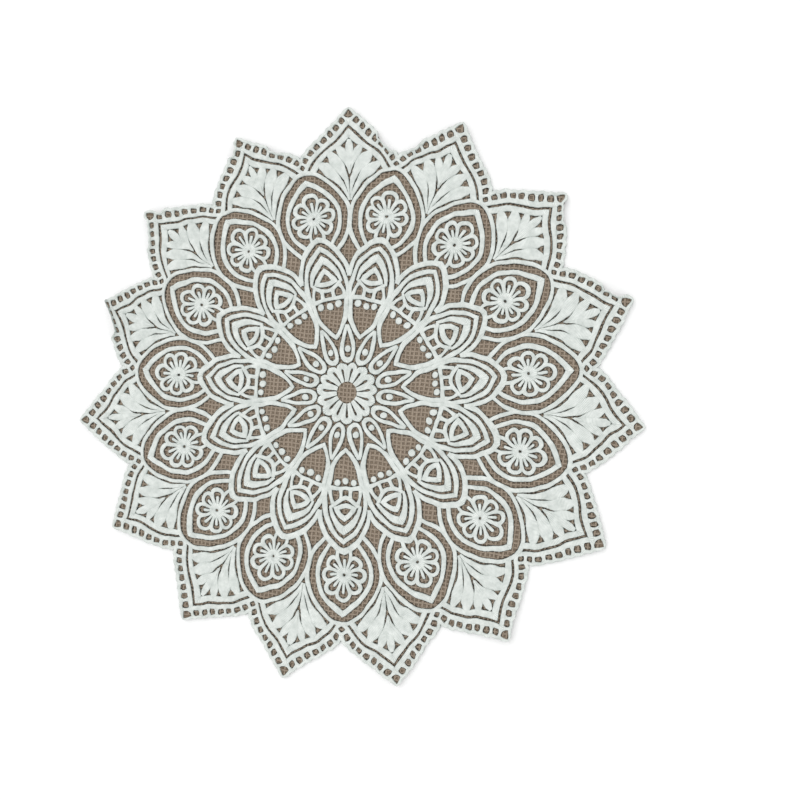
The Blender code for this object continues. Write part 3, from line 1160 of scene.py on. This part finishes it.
@dataclass
class Border(Ornament):
    """The petal's edging, its eyelets' bars and the two bands inside them."""

    name: ClassVar[str] = "border_embroidery"
    edging: Sequence[Row] = line_of(
        (0.0, 200.3, 0.7), (1.3, 199.5, 0.85), (2.7, 197.7, 1.1), (5.0, 195.2, 1.2),
        (10.0, 190.5, 1.2), (20.0, 181.1, 1.2), (29.0, 172.4, 1.25), (32.4, 168.2, 1.25),
        (35.4, 163.4, 1.2))
    outer_band: Sequence[Row] = line_of(
        (0.0, 190.5, 1.7), (6.8, 183.4, 1.8), (11.6, 179.05, 1.75), (16.4, 175.5, 1.65),
        (21.4, 171.1, 1.6), (25.6, 166.4, 1.6), (28.6, 161.6, 1.55), (30.4, 158.1, 1.5),
        (32.0, 156.1, 1.5), (34.0, 154.9, 1.45))
    inner_band: Sequence[Row] = line_of(
        (0.0, 182.6, 2.35), (3.1, 179.35, 2.15), (8.15, 174.85, 2.05), (13.5, 171.4, 1.9),
        (18.1, 167.35, 1.95), (21.85, 163.2, 1.95), (24.4, 158.8, 2.0), (26.2, 155.6, 1.9),
        (27.0, 154.0, 1.7))
    eyelets: Sequence[tuple[float, float]] = (
        (0.6, 196.2), (5.2, 190.7), (9.5, 186.5), (14.1, 182.2), (18.9, 178.3), (23.6, 173.9),
        (27.8, 169.2), (31.2, 163.9), (33.9, 158.7))
    bar_half: float = 1.0
    bar_reach: float = 3.1
    # How much wider a bar is at each share of its reach, which rounds the eyelets' corners
    flare: Sequence[tuple[float, float]] = (
        (-1.0, 1.4), (-0.72, 0.75), (-0.4, 0.2), (0.0, 0.0), (0.4, 0.2), (0.72, 0.75), (1.0, 1.4))

    def bars(self) -> list[Band]:
        """Set a bar between each two eyelets, square to the line that joins them.

        Returns:
            The bars' bands.
        """
        bands = []
        for a, b in zip(self.eyelets, self.eyelets[1:]):
            start, stop = np.array(a), np.array(b)
            middle = (start + stop) / 2.0
            heading = (stop - start) / np.hypot(*(stop - start))
            across = np.array([-heading[1], heading[0]]) * self.bar_reach
            rows = [Row(*(middle + across * share), self.bar_half + more)
                    for share, more in self.flare]
            bands.append(Band(rows, crown=1.6))
        return bands

    def bands(self) -> list[Band]:
        """The bands of one petal."""
        return self.bars() + [
            ScallopedBand(self.edging, fold=Fold.ARCH, crown=1.8, round_end=True, has_painted_shade_beside=False),
            Band(self.outer_band, fold=Fold.ARCH, crown=1.8),
            Band(self.inner_band, fold=Fold.ARCH, crown=1.9)]


@dataclass
class Palmette(Ornament):
    """The fan of seven stitched lobes inside a petal."""

    name: ClassVar[str] = "palmette_embroidery"
    middle_lobe: Sequence[Row] = line_of(
        (0.0, 153.7, 0.4), (0.0, 157.0, 0.7), (0.0, 160.5, 1.4), (0.0, 164.5, 2.35),
        (0.0, 168.0, 2.8), (0.0, 171.0, 2.95), (0.0, 173.5, 2.9), (0.0, 175.5, 2.65),
        (0.0, 176.8, 1.9))
    first_lobe: Sequence[Row] = line_of(
        (0.55, 154.6, 0.3), (1.1, 158.0, 0.6), (2.5, 162.0, 1.45), (4.1, 165.8, 2.7),
        (5.3, 168.6, 3.15), (6.3, 170.6, 2.9), (7.2, 172.0, 2.35))
    second_lobe: Sequence[Row] = line_of(
        (0.3, 136.6, 0.3), (0.6, 139.2, 0.6), (1.2, 143.2, 1.15), (2.1, 148.0, 1.85),
        (2.9, 151.0, 2.2), (4.85, 155.0, 2.9), (7.2, 159.1, 4.1), (9.95, 162.5, 4.6),
        (12.0, 165.3, 4.1), (13.4, 166.8, 3.05))
    third_lobe: Sequence[Row] = line_of(
        (0.7, 134.8, 0.8), (1.4, 137.8, 1.3), (3.3, 141.4, 1.45), (6.25, 146.7, 2.0),
        (9.4, 151.0, 2.95), (12.6, 154.4, 3.95), (16.4, 157.8, 3.95), (19.5, 159.5, 3.0))

    def bands(self) -> list[Band]:
        """The bands of one petal."""
        return [
            Band(self.third_lobe, crown=1.75, round_end=True),
            Band(self.second_lobe, crown=1.8, round_end=True),
            Band(self.first_lobe, crown=1.75, round_end=True),
            Band(self.middle_lobe, fold=Fold.ALONE, crown=1.85, round_end=True)]


@dataclass
class Medallion(Ornament):
    """The two pointed rings round a flower."""

    name: ClassVar[str] = "medallion_embroidery"
    outer_ring: Sequence[Row] = line_of(
        (0.0, 158.8, 1.45), (3.9, 158.0, 1.45), (7.4, 156.6, 1.45), (10.6, 154.4, 1.45),
        (14.0, 151.2, 1.45), (17.4, 146.9, 1.45), (22.0, 139.2, 1.45), (25.1, 131.4, 1.45),
        (26.0, 125.0, 1.5), (25.3, 118.7, 1.5), (23.4, 112.4, 1.5), (19.6, 106.1, 1.5),
        (15.3, 101.4, 1.45), (13.0, 99.3, 1.4))
    inner_ring: Sequence[Row] = line_of(
        (0.0, 151.8, 2.1), (3.8, 149.2, 2.0), (7.5, 146.0, 1.95), (11.0, 142.8, 1.8),
        (13.6, 139.5, 1.75), (15.5, 136.3, 1.75), (17.5, 131.5, 1.75), (18.55, 126.6, 1.75),
        (18.5, 121.8, 1.7), (18.0, 118.6, 1.65), (16.5, 113.8, 1.6), (13.7, 109.1, 1.6),
        (10.4, 105.3, 1.5), (8.6, 103.4, 1.4))

    def bands(self) -> list[Band]:
        """The bands of one petal."""
        return [Band(self.outer_ring, Axis.VALLEY, Fold.ARCH),
                Band(self.inner_ring, Axis.VALLEY, Fold.ARCH, 1.9)]


@dataclass
class Flower(Ornament):
    """The eight-petalled flower of looped bands inside a medallion."""

    name: ClassVar[str] = "flower_embroidery"
    centre: float = 125.0
    spoke: Sequence[Row] = line_of((1.4, 4.0, 0.9), (2.45, 6.3, 1.05))
    loops: Sequence[tuple[float, Sequence[Row]]] = (
        (0.0, line_of(
            (3.45, 8.6, 1.15), (4.7, 11.4, 1.25), (4.9, 13.4, 1.3), (3.9, 15.4, 1.45),
            (2.1, 16.8, 1.5), (0.0, 17.3, 1.55))),
        (45.0, line_of(
            (3.45, 8.8, 1.2), (3.9, 11.4, 1.3), (3.4, 13.4, 1.4), (2.0, 14.8, 1.5),
            (0.0, 15.3, 1.55))),
        (90.0, line_of(
            (3.45, 8.8, 1.2), (3.9, 11.0, 1.3), (3.4, 12.7, 1.35), (2.0, 13.9, 1.35),
            (0.0, 14.3, 1.35))),
        (135.0, line_of(
            (3.45, 8.8, 1.2), (4.0, 11.0, 1.3), (3.7, 12.8, 1.4), (2.3, 14.1, 1.5),
            (0.0, 14.6, 1.6))),
    )
    foot_side: Sequence[Row] = line_of(
        (3.45, 8.8, 1.15), (4.4, 11.4, 1.2), (4.6, 13.8, 1.25), (4.3, 16.2, 1.2))
    stamens: Sequence[tuple[float, float]] = (
        (0.0, 12.6), (45.0, 10.9), (90.0, 10.4), (135.0, 10.4), (180.0, 11.4))
    stamen_foot: Row = Row(0.0, 4.0, 0.85)
    stamen_waist: Row = Row(0.0, 7.0, 1.0)
    stamen_end_half: float = 1.1
    eye_radius: float = 3.15
    eye_half: float = 2.3
    # How many rows lie on each side of the eye, after the first
    eye_steps: int = 6

    def turned(self, rows: Iterable[Row], angle: float) -> list[Row]:
        """Turn rows clockwise about the flower's centre and put them in their place.

        Args:
            rows: Rows about the centre.
            angle: How far they turn, in degrees.

        Returns:
            The rows on the axis between two petals.
        """
        places = [(*clockwise(row.x, row.y, math.radians(angle)), row.half) for row in rows]
        return [Row(x, self.centre + y, half) for x, y, half in places]

    def bands(self) -> list[Band]:
        """Put loops, stamens and eye together.

        Returns:
            The bands of one petal.
        """
        bands = []
        for angle, side in self.loops:
            right = list(self.spoke) + list(side)
            left = [Row(-row.x, row.y, row.half) for row in reversed(right[:-1])]
            fold = Fold.PAIR if angle > 0.0 else Fold.ALONE
            bands.append(Band(self.turned(right + left, angle), Axis.VALLEY, fold, 1.75))
        foot = self.turned(list(self.spoke) + list(self.foot_side), 180.0)
        bands.append(Band(foot, Axis.VALLEY, crown=1.75))
        for angle, tip in self.stamens:
            end = Row(0.0, tip - self.stamen_end_half, self.stamen_end_half)
            rows = [self.stamen_foot, self.stamen_waist, end]
            fold = Fold.PAIR if 0.0 < angle < 180.0 else Fold.ALONE
            bands.append(Band(self.turned(rows, angle), Axis.VALLEY, fold, 1.6, True))
        turns = [math.pi * step / self.eye_steps for step in range(self.eye_steps + 1)]
        radius = self.eye_radius
        eye = [Row(radius * math.sin(turn), self.centre + radius * math.cos(turn), self.eye_half)
               for turn in turns]
        bands.append(Band(eye, Axis.VALLEY, Fold.LOOP, 1.9))
        return bands


@dataclass
class Leaf(Ornament):
    """The leaf between two petals: nested bands, cells, beads and the frame of its window."""

    name: ClassVar[str] = "leaf_embroidery"
    outline: Sequence[Row] = line_of(
        (0.0, 109.0, 2.25), (3.8, 107.6, 2.05), (7.7, 104.3, 2.0), (9.6, 102.3, 2.0),
        (12.1, 99.3, 1.95), (13.9, 95.8, 1.8), (15.3, 92.5, 1.8), (16.4, 89.3, 1.75),
        (16.95, 86.2, 1.7), (17.1, 83.3, 1.6), (17.1, 80.4, 1.45))
    frame: Sequence[Row] = line_of(
        (0.0, 102.6, 1.65), (3.9, 99.7, 1.65), (6.95, 96.75, 1.7), (9.2, 93.7, 1.65),
        (10.85, 90.6, 1.65), (12.1, 87.6, 1.55), (13.0, 84.6, 1.55), (13.6, 81.8, 1.6),
        (14.05, 78.5, 1.75), (14.3, 75.5, 1.85), (14.05, 71.5, 1.5), (13.35, 68.0, 1.55),
        (12.3, 65.0, 1.8), (11.5, 62.0, 1.75), (10.8, 58.0, 1.65), (10.05, 54.2, 1.7),
        (8.95, 50.8, 1.75), (6.9, 47.4, 1.55), (4.8, 44.5, 1.5), (2.6, 41.9, 1.5),
        (0.0, 39.6, 1.5))
    third: Sequence[Row] = line_of(
        (0.0, 95.0, 2.75), (2.6, 93.1, 2.5), (5.0, 90.6, 2.25), (7.0, 87.8, 1.95),
        (8.6, 84.8, 1.65), (9.5, 82.0, 1.35), (10.0, 79.8, 1.2), (10.3, 77.6, 1.0))
    fourth: Sequence[Row] = line_of(
        (0.0, 87.0, 1.85), (2.4, 85.2, 1.75), (4.3, 82.9, 1.7), (5.7, 80.7, 1.8), (6.5, 78.8, 1.7))
    upper_arc: Sequence[Row] = line_of(
        (0.0, 77.4, 1.9), (2.8, 77.8, 1.9), (5.5, 78.8, 1.75), (7.7, 79.8, 1.6))
    lower_arc: Sequence[Row] = line_of(
        (0.0, 72.1, 1.5), (3.0, 72.8, 1.5), (6.3, 75.1, 1.45), (8.3, 76.9, 1.4), (9.6, 78.0, 1.3))
    cell_bar: Sequence[Row] = line_of(
        (3.6, 72.8, 1.8), (3.65, 71.2, 1.35), (3.7, 69.4, 1.25), (3.8, 67.8, 1.5),
        (3.8, 66.2, 1.9))
    outer_bar: Sequence[Row] = line_of(
        (8.7, 75.8, 1.5), (9.75, 73.2, 1.15), (10.35, 71.0, 1.15), (10.75, 69.0, 1.35),
        (11.0, 66.8, 1.8))
    sill: Sequence[Row] = line_of(
        (0.0, 66.1, 1.25), (4.0, 66.2, 1.3), (8.0, 65.9, 1.55), (11.5, 65.7, 1.7))
    beads: Sequence[Row] = line_of((0.0, 61.3, 2.4), (6.1, 62.1, 2.35))

    def bands(self) -> list[Band]:
        """Put arches, frame, bars and beads together.

        Returns:
            The bands of one petal.
        """
        arches = (self.outline, self.third, self.fourth, self.upper_arc, self.lower_arc, self.sill)
        middle, side = self.beads
        return [Band(rows, Axis.VALLEY, Fold.ARCH) for rows in arches] + [
            Band(self.frame, Axis.VALLEY, Fold.LOOP),
            Band(self.cell_bar, Axis.VALLEY), Band(self.outer_bar, Axis.VALLEY),
            Bead([middle], Axis.VALLEY, Fold.ALONE, 2.0),
            Bead([side], Axis.VALLEY, Fold.PAIR, 2.0)]


@dataclass
class Centre(Ornament):
    """The drops, their beads and the rosette round the middle eyelet."""

    name: ClassVar[str] = "centre_embroidery"
    drop: Sequence[Row] = line_of(
        (0.0, 22.7, 1.95), (1.9, 23.4, 1.75), (3.2, 25.1, 1.5), (3.9, 27.5, 1.45),
        (4.1, 30.5, 1.45), (3.8, 33.8, 1.4), (3.1, 37.0, 1.4), (2.3, 40.3, 1.35),
        (1.35, 43.5, 1.3), (0.4, 46.7, 1.1))
    bead: Row = Row(0.0, 30.2, 2.3)
    rosette_petal: Sequence[Row] = line_of(
        (0.0, 19.2, 2.35), (1.35, 18.5, 2.3), (2.2, 17.0, 1.9), (2.15, 15.2, 1.42),
        (1.8, 13.2, 1.2), (1.42, 10.5, 1.0), (0.95, 7.3, 0.78))

    def bands(self) -> list[Band]:
        """The bands of one petal."""
        return [
            Band(self.drop, fold=Fold.ARCH, crown=1.9, round_end=True),
            Bead([self.bead], fold=Fold.ALONE, crown=2.0),
            Band(self.rosette_petal, Axis.VALLEY, Fold.ARCH, 1.8)]


@dataclass
class Studio:
    """The pale floor, the soft light and the camera."""

    floor_colour: str = "#FAFAFA"
    floor_reach: float = 6.0
    # The floor lies this far under the cloth, so that the two never share a plane
    floor_height: float = -0.0002
    light_energy: float = 0.5
    light_width: float = math.radians(45.0)
    light_from: tuple[float, float, float] = (-0.4, 0.45, 1.0)
    # Place and directions were fitted to the photograph for the focal length below
    camera_place: tuple[float, float, float] = (0.1302, -0.0296, 0.5395)
    camera_heading: tuple[float, float, float] = (-0.1698, 0.0453, -0.9844)
    camera_up: tuple[float, float, float] = (-0.0057, 0.9989, 0.0469)
    lens: float = 36.0

    def floor(self) -> None:
        """A wide plain floor just under the cloth."""
        mesh = bpy.data.meshes.new("studio_floor")
        corners = [(x * self.floor_reach, y * self.floor_reach, self.floor_height)
                   for x, y in ((-1, -1), (1, -1), (1, 1), (-1, 1))]
        mesh.from_pydata(corners, [], [(0, 1, 2, 3)])
        material = bpy.data.materials.new("pale_floor")
        material.use_nodes = True
        shader = material.node_tree.nodes["Principled BSDF"]
        shader.inputs["Base Color"].default_value = linear(self.floor_colour)
        shader.inputs["Roughness"].default_value = 0.9
        shader.inputs["Specular IOR Level"].default_value = 0.1
        mesh.materials.append(material)
        floor = bpy.data.objects.new("studio_floor", mesh)
        bpy.context.scene.collection.objects.link(floor)

    def lights(self) -> None:
        """An even white surround and one wide light from the upper left."""
        world = bpy.data.worlds.new("studio")
        world.use_nodes = True
        surround = world.node_tree.nodes["Background"]
        surround.inputs["Color"].default_value = (1.0, 1.0, 1.0, 1.0)
        surround.inputs["Strength"].default_value = 1.0
        bpy.context.scene.world = world
        lamp = bpy.data.lights.new("window_light", "SUN")
        lamp.energy = self.light_energy
        lamp.angle = self.light_width
        light = bpy.data.objects.new("window_light", lamp)
        light.rotation_euler = Vector(self.light_from).to_track_quat("Z", "Y").to_euler()
        bpy.context.scene.collection.objects.link(light)

    def camera(self) -> None:
        """The camera, nearly straight above and a little to the right of the middle."""
        lens = bpy.data.cameras.new("camera")
        lens.sensor_width = 36.0
        lens.lens = self.lens
        lens.clip_start, lens.clip_end = 0.01, 50.0
        camera = bpy.data.objects.new("camera", lens)
        back = -Vector(self.camera_heading).normalized()
        right = Vector(self.camera_up).cross(back).normalized()
        up = back.cross(right)
        turn = Matrix((right, up, back)).transposed().to_4x4()
        camera.matrix_world = Matrix.Translation(self.camera_place) @ turn
        bpy.context.scene.collection.objects.link(camera)
        bpy.context.scene.camera = camera

    def build(self) -> None:
        """Floor, lights and camera."""
        self.floor()
        self.lights()
        self.camera()
        bpy.context.scene.view_settings.view_transform = "Standard"


def main() -> None:
    """Build the cloth, dress it and put it in the studio."""
    logging.basicConfig(level=logging.INFO, format="%(name)s: %(message)s")
    Studio().build()
    floss = WhiteFloss().build()
    ground = Ground(FibresAndMeshShade()).build()
    net = Net(TaupeYarn()).build()
    ornaments = [part(floss) for part in (Border, Palmette, Medallion, Flower, Leaf, Centre)]
    # A dark piece beside every band paints the shade in the hollows next to the stitching
    groove_shade = PaintedGrooveShade(GrooveShadeFinish().build()).build(ornaments)
    embroidery = [ornament.build() for ornament in ornaments]
    for piece in [ground, net, groove_shade] + embroidery:
        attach(piece, "root")
        piece.data.calc_loop_triangles()
        log.info("%s: %d triangles", piece.name, len(piece.data.loop_triangles))
    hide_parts("tablecloth")


if __name__ == "__main__":
    main()
